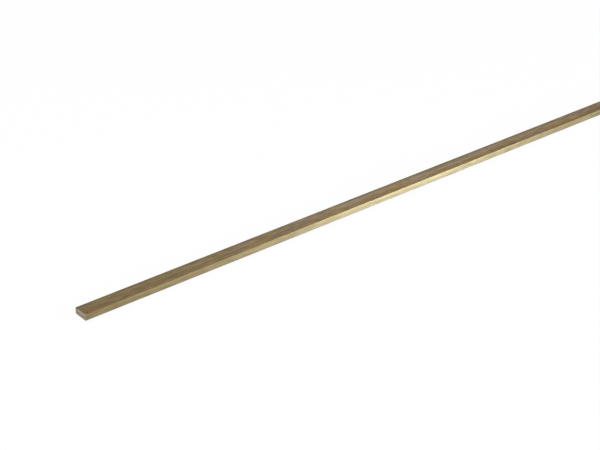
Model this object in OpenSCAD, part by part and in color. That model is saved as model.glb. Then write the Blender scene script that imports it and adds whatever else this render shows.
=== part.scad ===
// Drawn brass flat bar: one solid length of rectangular stock, lying on a wide face.
// The origin is the centre of the underside, at mid length. X runs along the bar,
// Y across its width and Z up. Sizes are in millimetres.

/* [Bar] */
// Length as sold, over the two sawn ends
bar_length = 1000; // [100:10:3000]
// Width of the two wide faces, over the long edges
bar_width = 10; // [6:0.5:50]
// Thickness between the two wide faces
bar_thickness = 4; // [2:0.5:20]

/* [Long edges] */
// Radius that the drawing die gives the four long edges
die_radius = 0.3; // [0.1:0.05:0.8]

/* [Sawn ends] */
// Leg of the flat filed round each end to take off the saw's burr
filed_leg = 0.25; // [0.1:0.05:0.8]

/* [Hidden] */
// How far a filing cut runs out past the bar on each side
run_out = 1;
both_sides = [-1, 1];
$fn = 48;

// The section that the die gives, at right angles to the length: a rectangle with
// its four corners rounded.
module drawn_section() {
    flat_w = bar_width - 2 * die_radius;
    flat_t = bar_thickness - 2 * die_radius;
    square([bar_width, flat_t], center = true);
    square([flat_w, bar_thickness], center = true);
    for (side = both_sides, face = both_sides)
        translate([side * flat_w / 2, face * flat_t / 2])
            circle(r = die_radius);
}

// The drawn bar cut square to length, centred on its own middle.
module cut_length() {
    rotate([90, 0, 90])
        linear_extrude(height = bar_length, center = true)
            drawn_section();
}

// What one stroke of the file takes off an edge that lies along X: a square prism
// set on its corner, whose faces meet the edge's two faces filed_leg away.
module file_stroke(edge_run) {
    across = filed_leg * sqrt(2);
    rotate([45, 0, 0])
        cube([edge_run + 2 * run_out, across, across], center = true);
}

// The four strokes round one end: two across the width and two up the thickness.
module filed_end() {
    for (face = both_sides)
        translate([0, 0, face * bar_thickness / 2])
            rotate([0, 0, 90])
                file_stroke(bar_width);
    for (side = both_sides)
        translate([0, side * bar_width / 2, 0])
            rotate([0, 90, 0])
                file_stroke(bar_thickness);
}

// The whole bar, with both of its ends deburred, set down on its underside.
module flat_bar() {
    color("#a28f60")
        translate([0, 0, bar_thickness / 2])
            difference() {
                cut_length();
                for (end = both_sides)
                    translate([end * bar_length / 2, 0, 0])
                        filed_end();
            }
}

flat_bar();
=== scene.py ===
import math

import bmesh
import bpy
import numpy as np
from mathutils import Matrix, Vector


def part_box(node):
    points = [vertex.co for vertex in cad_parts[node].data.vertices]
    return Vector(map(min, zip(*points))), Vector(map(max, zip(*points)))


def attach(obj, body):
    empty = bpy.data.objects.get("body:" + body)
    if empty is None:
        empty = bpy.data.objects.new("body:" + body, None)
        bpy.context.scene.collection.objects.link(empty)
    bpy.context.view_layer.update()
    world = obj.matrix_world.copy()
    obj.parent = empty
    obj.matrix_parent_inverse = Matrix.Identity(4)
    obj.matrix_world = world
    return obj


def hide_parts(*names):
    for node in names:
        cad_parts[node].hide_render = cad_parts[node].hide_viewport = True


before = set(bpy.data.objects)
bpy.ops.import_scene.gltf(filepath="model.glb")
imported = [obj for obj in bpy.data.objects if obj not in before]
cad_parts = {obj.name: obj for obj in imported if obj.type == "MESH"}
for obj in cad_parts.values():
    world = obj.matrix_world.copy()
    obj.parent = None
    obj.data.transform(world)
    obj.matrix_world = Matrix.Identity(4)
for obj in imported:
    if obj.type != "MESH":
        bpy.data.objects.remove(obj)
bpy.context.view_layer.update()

# A drawn brass flat bar lying on a pale studio floor. Everything is in metres, in the frame
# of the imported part: X along the bar, Y across its width, Z up from its underside

mm = 0.001
micron = 0.001 * mm


# Small helpers

# sRGB hex to linear: each channel c becomes ((c + 0.055) / 1.055) ^ 2.4, or c / 12.92 when it is dark
def toLinear(hexColour, alpha=1.0):
    code = hexColour.lstrip("#")
    channels = [int(code[i:i + 2], 16) / 255 for i in (0, 2, 4)]
    linear = [c / 12.92 if c <= 0.04045 else ((c + 0.055) / 1.055) ** 2.4 for c in channels]
    return (*linear, alpha)


# Adds one shader node. settings are its own properties, values fill its sockets by name or
# number, and links feed its sockets from other nodes' outputs
def addNode(tree, kind, settings=None, values=None, links=None):
    node = tree.nodes.new(kind)
    for name, value in (settings or {}).items():
        setattr(node, name, value)
    for socket, value in (values or {}).items():
        node.inputs[socket].default_value = value
    for socket, source in (links or {}).items():
        tree.links.new(source, node.inputs[socket])
    return node


# A material with no nodes yet, and its node tree
def newMaterial(name):
    material = bpy.data.materials.new(name)
    material.use_nodes = True
    material.node_tree.nodes.clear()
    return material, material.node_tree


# Geometry of the bar

low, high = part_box("flat_bar")
bar = {
    "length": high.x - low.x,
    "width": high.y - low.y,
    "thickness": high.z - low.z,
    "dieRadius": 0.3 * mm,      # rounding of the four long edges
    "filedLeg": 0.25 * mm,      # leg of the flat that is filed round each end
    "filedRadius": 0.17 * mm,   # rounding left at the corners of the sawn face
    "wideCells": 84,            # mesh cells across a wide face
    "narrowCells": 32,          # and up a narrow one
    "edgeCells": 7,             # and round one long edge
    "ringStep": 5 * mm,         # between rings along the bar, away from its ends
    "endRings": 9,              # rings that close up towards each end
    "filedRings": 2,            # rings down the filed flat
    "capRings": 24,             # rings from the rim of the sawn face to its middle line
    "weldGap": 0.0001 * mm,     # points closer than this are one
    "sharpAngle": 32,           # degrees between two faces from which their edge looks sharp
    "seed": 7,
}
dieLines = {
    "count": 70,                # lines that the die leaves, all the way round
    "depth": (2 * micron, 12 * micron),
    "width": (0.07 * mm, 0.32 * mm),
    "fadeLength": 90 * mm,      # over which a line deepens and fades
    "fadePaces": (0.31, 0.62, 1.0),    # of the three waves that this fading is made of
}
sawMarks = {
    "bladeCentre": (-43.75 * mm, -117.5 * mm),         # of a 250 mm blade, from the middle of the end
    "pitch": 0.55 * mm,                                # between two arcs
    "depth": 24 * micron,
    "waves": ((0.3, 1.0, 0.0), (0.2, 0.37, 1.3)),      # share of the depth, pace and start of each
}
uvMap = {
    "strips": 4,                # lengths that the map cuts the bar into
    "stripHeight": 0.222,
    "endMargin": 0.005,         # left free at each end of a strip
    "sideMargin": 0.003,        # and along each side
    "capMiddles": (0.25, 0.75),    # where the two sawn faces lie along the map
    "capRow": 0.944,            # and how high
    "capHeight": 0.1,
    "capRoom": 1.05,            # room for a sawn face, in its own heights
}


# The section as eight runs, alternately straight and round. A point is corner centre plus
# radius times normal: along a straight run the centre slides, round an edge the normal turns
def sectionRuns():
    wide = np.linspace(1, -1, bar["wideCells"], endpoint=False)
    narrow = np.linspace(1, -1, bar["narrowCells"], endpoint=False)
    turn = np.linspace(0, math.pi / 2, bar["edgeCells"], endpoint=False)
    centres = []
    normals = []
    for quarter, slide in enumerate((wide, narrow, wide, narrow)):
        start = math.pi / 2 * (quarter + 1)
        across = np.array([math.cos(start), math.sin(start)])
        along = np.array([math.sin(start), -math.cos(start)])
        centres.append(slide[:, None] * along + across)
        normals.append(np.tile(across, (len(slide), 1)))
        centres.append(np.tile(across - along, (len(turn), 1)))
        normals.append(np.stack([np.cos(start + turn), np.sin(start + turn)], 1))
    return np.concatenate(centres), np.concatenate(normals)


# One ring of the section, pulled in by inset and with its edges rounded by radius:
# half size minus inset minus radius places the corner centres, then radius goes along the normal
def sectionRing(centres, normals, inset, radius):
    half = np.array([bar["width"] / 2, bar["thickness"] / 2]) - inset - radius
    return centres * half + normals * radius


# Places of the rings along the bar: even steps, of which some fall on the UV strips' borders,
# with a few rings at each end whose steps shrink by a half each time
def ringPlaces():
    half = bar["length"] / 2
    leg = bar["filedLeg"]
    stripSteps = round(bar["length"] / uvMap["strips"] / bar["ringStep"])
    even = np.linspace(-half, half, uvMap["strips"] * stripSteps + 1)[1:-1]
    close = leg + (bar["ringStep"] - leg) * 0.5 ** np.arange(1, bar["endRings"])
    close = np.append(close, leg)[::-1]
    return np.concatenate([-half + close, even, (half - close)[::-1]])


# Depth of the die's lines at each place round the section and along the bar: each line is a
# bell curve across, times a slow wave between 0 and 1 along
def dieRelief(arc, places, rng):
    around = arc[-1]
    paces = np.array(dieLines["fadePaces"])
    centre = rng.uniform(0, around, dieLines["count"])
    width = rng.uniform(*dieLines["width"], dieLines["count"])
    depth = rng.uniform(*dieLines["depth"], dieLines["count"])
    gap = np.abs(arc[:-1, None] - centre)
    gap = np.minimum(gap, around - gap)
    bells = depth * np.exp(-(gap / width) ** 2)
    phase = rng.uniform(0, 2 * math.pi, (len(paces), dieLines["count"]))
    pace = 2 * math.pi / dieLines["fadeLength"] * paces
    waves = np.sin(pace[:, None, None] * places[None, :, None] + phase[:, None, :]).sum(0)
    return bells @ (0.5 + waves / (2 * len(paces))).T


# Depth of the saw's arcs on the cut face: a wave of the distance from the blade's centre,
# with a second wave at an odd pitch, so that no two arcs are alike
def sawRelief(y, z):
    bladeY, bladeZ = sawMarks["bladeCentre"]
    turns = 2 * math.pi * np.hypot(y - bladeY, z - bladeZ) / sawMarks["pitch"]
    waves = [share * np.sin(pace * turns + start) for share, pace, start in sawMarks["waves"]]
    return sawMarks["depth"] * (0.5 + sum(waves))


# The rings of one end, and how far each lies in from the rim: first down the filed flat at
# 45 degrees, where the inset grows by as much as the depth falls, then across the sawn face in
# even steps to its middle line. Side is -1 at the first end and 1 at the other
def endRings(centres, normals, side):
    leg = bar["filedLeg"]
    rings = []
    insets = []
    for k in range(bar["filedRings"] + bar["capRings"]):
        if k < bar["filedRings"]:
            share = (k + 1) / bar["filedRings"]
            inset = leg * share
            radius = bar["dieRadius"] + (bar["filedRadius"] - bar["dieRadius"]) * share
            ring = sectionRing(centres, normals, inset, radius)
            depth = np.full(len(ring), leg - inset)
        else:
            share = (k + 1 - bar["filedRings"]) / bar["capRings"]
            inset = leg + (bar["thickness"] / 2 - leg) * share
            ring = sectionRing(centres, normals, inset, bar["filedRadius"] * (1 - share))
            depth = sawRelief(ring[:, 0], ring[:, 1])
        rings.append(np.column_stack([side * (bar["length"] / 2 - depth), ring]))
        insets.append(inset)
    return rings, insets


# Where the corners of each face lie in the UV map. The bar's length in strips, one above the
# other: the way along the bar goes across the map and the way round the section goes up it.
# The two sawn faces lie above the strips, seen end on. Span is the rings between them
def uvCorners(corners, arc, span):
    i, j = np.indices(corners.shape[:2])
    stripLength = bar["length"] / uvMap["strips"]
    along = corners[..., 0] + bar["length"] / 2
    strip = np.clip((along.mean(-1) / stripLength).astype(int), 0, uvMap["strips"] - 1)[..., None]
    around = 1 - np.stack([arc[j], arc[j + 1], arc[j + 1], arc[j]], -1) / arc[-1]
    endMargin = uvMap["endMargin"]
    sideMargin = uvMap["sideMargin"]
    u = (along / stripLength - strip) * (1 - 2 * endMargin) + endMargin
    v = around * (uvMap["stripHeight"] - 2 * sideMargin) + strip * uvMap["stripHeight"] + sideMargin

    capScale = uvMap["capHeight"] / (bar["thickness"] * uvMap["capRoom"])
    capAcross = corners[..., 1] * capScale
    capUp = (corners[..., 2] - bar["thickness"] / 2) * capScale + uvMap["capRow"]
    onNear = (i < span[0])[..., None]
    onFar = (i >= span[1])[..., None]
    u = np.where(onNear, uvMap["capMiddles"][0] - capAcross, u)
    u = np.where(onFar, uvMap["capMiddles"][1] + capAcross, u)
    v = np.where(onNear | onFar, capUp, v)
    return np.stack([u, v], -1)


# The whole bar as one closed grid: rings of the section along X, then rings that shrink
# across each sawn face to its middle line, where they are welded
def buildBar():
    rng = np.random.default_rng(bar["seed"])
    centres, normals = sectionRuns()
    outline = sectionRing(centres, normals, 0, bar["dieRadius"])
    steps = np.linalg.norm(np.roll(outline, -1, axis=0) - outline, axis=1)
    arc = np.concatenate([[0], np.cumsum(steps)])
    places = ringPlaces()
    relief = dieRelief(arc, places, rng)
    body = outline[:, None, :] - normals[:, None, :] * relief[:, :, None]
    rings = [np.column_stack([np.full(len(outline), x), body[:, i]]) for i, x in enumerate(places)]

    near, capInsets = endRings(centres, normals, -1)
    far, capInsets = endRings(centres, normals, 1)
    insets = capInsets[::-1] + [0] * len(rings) + capInsets
    rings = near[::-1] + rings + far
    points = np.concatenate(rings)
    points[:, 2] += bar["thickness"] / 2

    # each face joins two neighbours on one ring to the same two on the next ring
    n = len(rings)
    m = len(outline)
    i, j = np.indices((n - 1, m))
    after = (j + 1) % m
    quads = np.stack([i * m + j, i * m + after, (i + 1) * m + after, (i + 1) * m + j], -1)
    mesh = bpy.data.meshes.new("drawnBar")
    mesh.from_pydata(points.tolist(), [], quads.reshape(-1, 4).tolist())

    span = (len(near), len(near) + len(places) - 1)
    uv = mesh.uv_layers.new(name="OFBake")
    uv.data.foreach_set("uv", uvCorners(points[quads], arc, span).astype(np.float32).ravel())
    sawnFaces = ((i < span[0]) | (i >= span[1])).ravel()
    mesh.polygons.foreach_set("material_index", sawnFaces.astype(np.int32))
    mesh.polygons.foreach_set("use_smooth", np.ones(len(sawnFaces), bool))

    # what the materials read: wideness, 1 on a wide face and 0 on a narrow one; rimGap, the way
    # to the nearest long edge; and capInset, the way in from the rim of the end
    halfSection = np.array([bar["width"], bar["thickness"]]) / 2
    patterns = {
        "wideness": np.tile(np.abs(normals[:, 1]), n),
        "rimGap": np.tile((halfSection - np.abs(outline)).max(1), n),
        "capInset": np.repeat(insets, m),
    }
    for name, values in patterns.items():
        layer = mesh.attributes.new(name, "FLOAT", "POINT")
        layer.data.foreach_set("value", values.astype(np.float32))

    # weld the two middle lines shut
    work = bmesh.new()
    work.from_mesh(mesh)
    bmesh.ops.remove_doubles(work, verts=work.verts, dist=bar["weldGap"])
    work.to_mesh(mesh)
    work.free()
    mesh.set_sharp_from_angle(angle=math.radians(bar["sharpAngle"]))
    mesh.update()
    return mesh


print("bar: working out the mesh")
barMesh = buildBar()
drawnBar = bpy.data.objects.new("drawn_flat_bar", barMesh)
bpy.context.scene.collection.objects.link(drawnBar)
print("bar:", len(barMesh.vertices), "points,", len(barMesh.polygons), "faces")


# Materials

# A noise whose blobs are about as long, wide and high as size says: place / size + shift,
# read by a noise of scale 1
def blobs(tree, place, size, shift, detail):
    space = addNode(tree, "ShaderNodeMapping", None,
                    {"Location": shift, "Scale": [1 / s for s in size]}, {"Vector": place})
    noise = addNode(tree, "ShaderNodeTexNoise", None, {"Scale": 1.0, "Detail": detail},
                    {"Vector": space.outputs[0]})
    return noise.outputs["Fac"]


# One coat of colour over base: it starts where amount passes span[0] and covers by share
# from span[1] on. Base and colour are hex colours or nodes' outputs
def coat(tree, base, colour, amount, span, share):
    cover = addNode(tree, "ShaderNodeMapRange", {"interpolation_type": "SMOOTHSTEP"},
                    {"From Min": span[0], "From Max": span[1], "To Max": share}, {"Value": amount})
    values = {}
    links = {0: cover.outputs[0]}
    for socket, tone in ((6, base), (7, colour)):
        if isinstance(tone, str):
            values[socket] = toLinear(tone)
        else:
            links[socket] = tone
    return addNode(tree, "ShaderNodeMix", {"data_type": "RGBA"}, values, links).outputs[2]


# Coats one over the other, as a table lists them: colour, pattern, span and share
def coated(tree, colour, patterns, coats):
    for tone, pattern, span, share in coats:
        colour = coat(tree, colour, tone, patterns[pattern], span, share)
    return colour


# Makes a colour lighter and darker: for each pattern, fromRange becomes a factor in toRange,
# with soft ends, and the colour is multiplied by it
def toned(tree, colour, patterns, tones):
    for pattern, fromRange, toRange in tones:
        factor = addNode(tree, "ShaderNodeMapRange", {"interpolation_type": "SMOOTHSTEP"},
                         {"From Min": fromRange[0], "From Max": fromRange[1],
                          "To Min": toRange[0], "To Max": toRange[1]}, {"Value": patterns[pattern]})
        colour = addNode(tree, "ShaderNodeVectorMath", {"operation": "SCALE"}, None,
                         {0: colour, "Scale": factor.outputs[0]}).outputs[0]
    return colour


# Stains near the first end, on the drawn and on the sawn faces
stains = {
    "core": 0.2,                # share of its reach within which a stain is full
    # each one's place, reach, colour and share
    "spots": (
        ((-499.0 * mm, 4.0 * mm, 4.0 * mm), 2.4 * mm, "#7a7a6a", 0.85),
        ((-495.5 * mm, -2.6 * mm, 4.0 * mm), 5.0 * mm, "#a98762", 0.7),
        ((-497.6 * mm, -3.8 * mm, 4.0 * mm), 1.1 * mm, "#7d5535", 0.6),
        ((-499.2 * mm, -5.0 * mm, 0.6 * mm), 2.2 * mm, "#8c8d68", 0.6),
    ),
}


# Lays the stains over a colour: each fades with the distance from its place
def stained(tree, place, colour):
    for spot, reach, tone, share in stains["spots"]:
        gap = addNode(tree, "ShaderNodeVectorMath", {"operation": "DISTANCE"}, {1: spot}, {0: place})
        colour = coat(tree, colour, tone, gap.outputs["Value"], (reach, stains["core"] * reach), share)
    return colour


# Drawn brass: bar that is pulled cold through a steel die. The die leaves fine lines along
# it, so its sheen is sharp along the bar and spread across. The wide faces are dulled and
# roughened by a thin tarnish in long patches of olive, brown and grey; the narrow faces are
# rubbed cleaner
drawn = {
    # noises: size of a blob, shift and detail. The lines are really 0.05 mm wide and the
    # scratches finer, and both are drawn as coarse as they need to show
    "noises": {
        "patch": ((24 * mm, 2.6 * mm, 2.6 * mm), (10.5, 14.1, 1.8), 3.0),    # tarnish patches
        "grey": ((24 * mm, 2.6 * mm, 2.6 * mm), (10.0, 11.9, 18.7), 3.0),    # the grey ones
        "grain": ((8 * mm, 1.1 * mm, 1.1 * mm), (2.3, 17.9, 19.4), 6.0),     # short streaks inside them
        "cloud": ((60 * mm, 9 * mm, 9 * mm), (7.3, 2.2, 0.6), 3.0),          # slow change along the bar
        "streak": ((400 * mm, 1.3 * mm, 1.3 * mm), (10.9, 18.0, 9.5), 5.0),  # bands left by the die
        "line": ((70 * mm, 0.22 * mm, 0.22 * mm), (5.5, 0.1, 0.4), 3.0),     # its fine lines
        "scratch": ((240 * mm, 0.15 * mm, 0.15 * mm), (3.1, 8.4, 5.2), 1.0),  # thin ones, along the bar
    },
    # patterns made of two others: the first times the factor, plus the second
    "blends": {
        "browner": ("Y", -40.0, "patch"),       # more towards the viewer's side
        "greyer": ("Y", 18.0, "grey"),          # more towards the far side
        "border": ("cloud", 5.0 * mm, "Y"),     # the far side, with a wavy border
        "higher": ("patch", 2.4 * mm, "Z"),     # height, with a patchy border
        "scratched": ("grain", 0.3, "scratch"),
    },
    # coats in the order they are laid: colour, pattern, span over which it comes in, share
    "wideBase": "#a8936c",                      # olive
    "wideCoats": (
        ("#b09269", "browner", (0.36, 0.64), 1.0),                  # umber
        ("#a99881", "greyer", (0.44, 0.66), 0.85),
        ("#7d7662", "border", (5.0 * mm, 7.4 * mm), 0.95),          # darker and greener along the far border, whose edge is wavy
        ("#95845f", "outward", (330 * mm, 490 * mm), 0.5),          # darker and browner near the ends: painted shade
    ),
    "narrowBase": "#9f9470",                    # greenish and darker, lower down: painted shade
    "narrowCoats": (
        ("#ad9b70", "higher", (3.1 * mm, 4.1 * mm), 1.0),           # lighter, higher up, above the painted shade
        ("#9e8c64", "outward", (260 * mm, 480 * mm), 0.95),         # darker and browner near the ends: painted shade, where the front lamp's highlight does not reach
        ("#80795f", "Z", (1.2 * mm, 0.1 * mm), 0.35),               # darker and greener along the foot: painted shade of the floor's contact shadow
    ),
    "wideShare": (0.35, 0.85),                  # wideness over which narrow gives way to wide
    "overCoats": (
        ("#dcc293", "scratched", (0.755, 0.83), 0.6),               # bare metal in the scratches
        ("#bfab7b", "rimGap", (0.34 * mm, 0.14 * mm), 0.7),         # long edges, rubbed bright and lighter still as a painted highlight
    ),
    # lighter and darker: pattern, its span, and the factors at the span's two ends
    "wideTones": (
        ("Y", (-4 * mm, 3 * mm), (0.985, 1.09)),
        ("streak", (0.36, 0.64), (0.91, 1.09)),
        ("grain", (0.3, 0.7), (0.8, 1.19)),
        ("patch", (0.34, 0.66), (0.93, 1.07)),
        ("cloud", (0.3, 0.7), (0.95, 1.05)),
        ("line", (0.37, 0.63), (0.82, 1.17)),
    ),
    "narrowTones": (
        # darker lower down: painted shade
        ("Z", (0.8 * mm, 3.2 * mm), (0.975, 1.01)),
        ("streak", (0.36, 0.64), (0.96, 1.04)),
        ("grain", (0.3, 0.7), (0.88, 1.12)),
        ("cloud", (0.3, 0.7), (0.96, 1.04)),
        ("line", (0.37, 0.63), (0.91, 1.09)),
    ),
    "lineDepth": 6 * micron,                    # of the fine lines, shown by bump
    "roughness": ("grey", (0.3, 0.7), (0.36, 0.44)),            # pattern, its span, the values at its ends
    "tarnishRoughness": 0.2,                    # added on the wide faces, where it is thickest
    "anisotropy": 0.9,
}


# Wide and narrow faces are coloured apart, each as base, then coats, then tones, and are mixed
# by wideness. Scratches, bright edges and stains lie over both, and wideness adds roughness
def makeDrawnBrass():
    material, tree = newMaterial("drawn_brass")
    place = addNode(tree, "ShaderNodeTexCoord").outputs["Object"]
    axes = addNode(tree, "ShaderNodeSeparateXYZ", links={0: place}).outputs
    patterns = {"Y": axes["Y"], "Z": axes["Z"]}
    patterns["outward"] = addNode(tree, "ShaderNodeMath", {"operation": "ABSOLUTE"}, None,
                                  {0: axes["X"]}).outputs[0]
    for name in ("wideness", "rimGap"):
        patterns[name] = addNode(tree, "ShaderNodeAttribute", {"attribute_name": name}).outputs["Fac"]
    for name, (size, shift, detail) in drawn["noises"].items():
        patterns[name] = blobs(tree, place, size, shift, detail)
    for name, (pattern, factor, added) in drawn["blends"].items():
        patterns[name] = addNode(tree, "ShaderNodeMath", {"operation": "MULTIPLY_ADD"}, {1: factor},
                                 {0: patterns[pattern], 2: patterns[added]}).outputs[0]

    wide = coated(tree, drawn["wideBase"], patterns, drawn["wideCoats"])
    wide = toned(tree, wide, patterns, drawn["wideTones"])
    narrow = coated(tree, drawn["narrowBase"], patterns, drawn["narrowCoats"])
    narrow = toned(tree, narrow, patterns, drawn["narrowTones"])
    colour = coat(tree, narrow, wide, patterns["wideness"], drawn["wideShare"], 1.0)
    colour = coated(tree, colour, patterns, drawn["overCoats"])
    colour = stained(tree, place, colour)

    relief = addNode(tree, "ShaderNodeBump", None, {"Strength": 1.0, "Distance": drawn["lineDepth"]},
                     {"Height": patterns["line"]}).outputs[0]
    tangent = addNode(tree, "ShaderNodeTangent", {"direction_type": "RADIAL", "axis": "X"}).outputs[0]
    pattern, span, values = drawn["roughness"]
    roughness = addNode(tree, "ShaderNodeMapRange", None,
                        {"From Min": span[0], "From Max": span[1],
                         "To Min": values[0], "To Max": values[1]},
                        {"Value": patterns[pattern]}).outputs[0]
    roughness = addNode(tree, "ShaderNodeMath", {"operation": "MULTIPLY_ADD"},
                        {1: drawn["tarnishRoughness"]},
                        {0: patterns["wideness"], 2: roughness}).outputs[0]
    shader = addNode(tree, "ShaderNodeBsdfPrincipled", None,
                     {"Metallic": 1.0, "Anisotropic": drawn["anisotropy"]},
                     {"Base Color": colour, "Roughness": roughness, "Normal": relief, "Tangent": tangent})
    addNode(tree, "ShaderNodeOutputMaterial", links={"Surface": shader.outputs[0]})
    return material


# Sawn brass: metal torn by the teeth of a circular saw, in flat arcs across the face. It is
# darker and duller low down as painted shade, and brightest on the flat that a file left along
# its upper border, as filed metal with a painted highlight
sawn = {
    "noises": {
        "smear": ((0.9 * mm, 1.6 * mm, 0.8 * mm), (2.0, 7.1, 3.3), 3.0),
        "tear": ((0.3 * mm, 0.3 * mm, 0.12 * mm), (4.4, 1.2, 9.6), 4.0),    # crumbs pulled out by the teeth
    },
    "blends": {
        "torn": ("arcs", 0.12, "smear"),
        "lower": ("Z", -110.0, "torn"),         # lower down, with smears and arcs in its border
        "upperRim": ("capInset", -1.5, "Z"),    # height less the way in from the rim: the upper flat
    },
    "base": "#ad9c87",
    # darker and duller low down: painted shade, broken up by the arcs and smears
    "lowShadeCoat": ("#8b8371", "lower", (0.08, 0.55), 1.0),
    # the filed flat, lighter near the top: filed metal and a painted highlight
    "filedHighlightCoat": ("#c0ac8c", "upperRim", (2.4 * mm, 3.5 * mm), 1.0),
    "tones": (
        ("tear", (0.36, 0.64), (0.93, 1.07)),
        ("arcs", (0.15, 0.85), (0.9, 1.1)),
    ),
    "scratchPitch": 0.18 * mm,                  # between the marks of two teeth, coarser than real
    "scratchDepth": 6 * micron,
    "scratchWaver": {"Distortion": 2.5, "Detail": 2.0, "Detail Scale": 0.6},
    "roughness": ("smear", (0.3, 0.7), (0.42, 0.58)),
}


# The base takes the painted shade coat where height, arcs and smears add up to low, then the
# tones, then the filed coat, with its painted highlight, where height less the way in from the
# rim is large, then the stains
def makeSawnBrass():
    material, tree = newMaterial("sawn_brass")
    place = addNode(tree, "ShaderNodeTexCoord").outputs["Object"]
    patterns = {"Z": addNode(tree, "ShaderNodeSeparateXYZ", links={0: place}).outputs["Z"]}
    patterns["capInset"] = addNode(tree, "ShaderNodeAttribute",
                                   {"attribute_name": "capInset"}).outputs["Fac"]
    for name, (size, shift, detail) in sawn["noises"].items():
        patterns[name] = blobs(tree, place, size, shift, detail)

    # arcs about the saw's centre: rings round X at the same centre as the mesh's own arcs. A
    # wave texture of scale 1 has a ring every pi / 10
    bladeY, bladeZ = sawMarks["bladeCentre"]
    centred = addNode(tree, "ShaderNodeMapping", None,
                      {"Location": (0, -bladeY, -bladeZ - bar["thickness"] / 2)},
                      {"Vector": place}).outputs[0]
    patterns["arcs"] = addNode(tree, "ShaderNodeTexWave",
                               {"wave_type": "RINGS", "rings_direction": "X", "wave_profile": "SIN"},
                               {"Scale": math.pi / 10 / sawn["scratchPitch"], **sawn["scratchWaver"]},
                               {"Vector": centred}).outputs["Fac"]
    for name, (pattern, factor, added) in sawn["blends"].items():
        patterns[name] = addNode(tree, "ShaderNodeMath", {"operation": "MULTIPLY_ADD"}, {1: factor},
                                 {0: patterns[pattern], 2: patterns[added]}).outputs[0]

    colour = coated(tree, sawn["base"], patterns, [sawn["lowShadeCoat"]])
    colour = toned(tree, colour, patterns, sawn["tones"])
    colour = coated(tree, colour, patterns, [sawn["filedHighlightCoat"]])
    colour = stained(tree, place, colour)

    relief = addNode(tree, "ShaderNodeBump", None, {"Strength": 1.0, "Distance": sawn["scratchDepth"]},
                     {"Height": patterns["arcs"]}).outputs[0]
    pattern, span, values = sawn["roughness"]
    roughness = addNode(tree, "ShaderNodeMapRange", None,
                        {"From Min": span[0], "From Max": span[1],
                         "To Min": values[0], "To Max": values[1]},
                        {"Value": patterns[pattern]}).outputs[0]
    shader = addNode(tree, "ShaderNodeBsdfPrincipled", None, {"Metallic": 1.0},
                     {"Base Color": colour, "Roughness": roughness, "Normal": relief})
    addNode(tree, "ShaderNodeOutputMaterial", links={"Surface": shader.outputs[0]})
    return material


barMesh.materials.append(makeDrawnBrass())
barMesh.materials.append(makeSawnBrass())
print("materials:", ", ".join(material.name for material in barMesh.materials))

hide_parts("flat_bar")
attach(drawnBar, "root")


# Stage: floor, light and camera

studio = {
    "floorRadius": 30.0,
    "floorCorners": 96,
    "floorColour": "#fafafa",
    "plainShare": 0.85,         # share of the floor that looks plain white; the rest takes the shadow
    "worldColour": (0.46, 0.46, 0.46, 1.0),
    # each lamp's place, the point it is turned to, its size, power and colour
    "lamps": {
        "softbox_front": ((0.353, -0.8, 0.12), (-0.2, 0, 0), (0.2, 0.24), 5.0, "#e0edff"),
        "softbox_top": ((-1.0, -0.2, 2.6), (-0.3, 0, 0), (2.8, 2.8), 54.0, "#ffffff"),
    },
}


# Floor paint: plain pale diffuse, mixed with plain white for what the camera, metal or glass sees
def makeFloorPaint():
    material, tree = newMaterial("floor_paint")
    paint = addNode(tree, "ShaderNodeBsdfDiffuse", values={"Color": toLinear(studio["floorColour"])})
    glow = addNode(tree, "ShaderNodeEmission", values={"Color": (1, 1, 1, 1), "Strength": 1.0})
    rays = addNode(tree, "ShaderNodeLightPath").outputs
    seen = rays["Is Camera Ray"]
    for kind in ("Is Glossy Ray", "Is Transmission Ray"):
        seen = addNode(tree, "ShaderNodeMath", {"operation": "MAXIMUM"},
                       links={0: seen, 1: rays[kind]}).outputs[0]
    share = addNode(tree, "ShaderNodeMath", {"operation": "MULTIPLY"}, {1: studio["plainShare"]},
                    {0: seen}).outputs[0]
    mixed = addNode(tree, "ShaderNodeMixShader",
                    links={0: share, 1: paint.outputs[0], 2: glow.outputs[0]})
    addNode(tree, "ShaderNodeOutputMaterial", links={"Surface": mixed.outputs[0]})
    return material


bpy.ops.mesh.primitive_circle_add(vertices=studio["floorCorners"], radius=studio["floorRadius"],
                                  fill_type="NGON")
floor = bpy.context.object
floor.name = "floor"
floor.data.materials.append(makeFloorPaint())

world = bpy.data.worlds.new("studio")
bpy.context.scene.world = world
world.use_nodes = True
background = world.node_tree.nodes["Background"]
background.inputs["Color"].default_value = studio["worldColour"]
background.inputs["Strength"].default_value = 1.0


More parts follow.
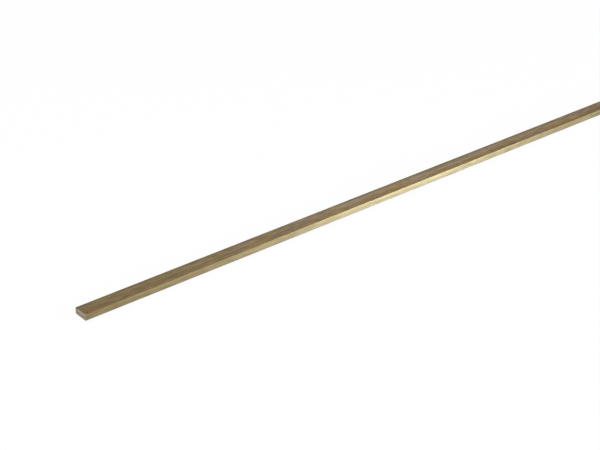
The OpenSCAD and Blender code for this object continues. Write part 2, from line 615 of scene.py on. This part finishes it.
# A rectangular soft lamp of the given size, at place and turned towards aim
def softLamp(name, place, aim, size, power, colour):
    data = bpy.data.lights.new(name, "AREA")
    data.shape = "RECTANGLE"
    data.size, data.size_y = size
    data.energy = power
    data.color = toLinear(colour)[:3]
    lamp = bpy.data.objects.new(name, data)
    lamp.location = place
    lamp.rotation_mode = "QUATERNION"
    lamp.rotation_quaternion = (Vector(aim) - Vector(place)).to_track_quat("-Z", "Y")
    bpy.context.scene.collection.objects.link(lamp)


for name, setup in studio["lamps"].items():
    softLamp(name, *setup)
print("stage: floor, world and", len(studio["lamps"]), "lamps")

# Camera: 1474 pixels of focal length on a frame 600 pixels wide, turned and tipped as
# measured from the bar's edges, and placed so that the bar's far top corner at its near
# end falls on its pixel at the measured depth
view = {
    "framePixels": (600, 450),
    "focalPixels": 1474,
    "headingOffBar": 50.47,     # degrees from the bar's length to where the camera looks
    "pitchDown": 28.66,
    "cornerPixel": (75.1, 307.3),
    "cornerDepth": 0.8,
    "sensorWidth": 36,
    "clip": (0.01, 100),
}
heading = math.radians(view["headingOffBar"])
pitch = math.radians(view["pitchDown"])
forward = Vector((math.cos(heading) * math.cos(pitch),
                  math.sin(heading) * math.cos(pitch),
                  -math.sin(pitch)))
rightward = Vector((math.sin(heading), -math.cos(heading), 0))
upward = rightward.cross(forward)
offX = (view["cornerPixel"][0] - view["framePixels"][0] / 2) / view["focalPixels"]
offY = (view["framePixels"][1] / 2 - view["cornerPixel"][1]) / view["focalPixels"]
corner = Vector((low.x, high.y, high.z))
camera = bpy.data.objects.new("camera", bpy.data.cameras.new("camera"))
camera.data.sensor_width = view["sensorWidth"]
camera.data.lens = view["focalPixels"] / view["framePixels"][0] * view["sensorWidth"]
camera.data.clip_start, camera.data.clip_end = view["clip"]
camera.matrix_world = Matrix((rightward, upward, -forward)).transposed().to_4x4()
camera.location = corner - view["cornerDepth"] * (forward + offX * rightward + offY * upward)
bpy.context.scene.collection.objects.link(camera)
bpy.context.scene.camera = camera
print("camera: at", [round(c, 4) for c in camera.location])

bpy.context.scene.view_settings.view_transform = "Standard"
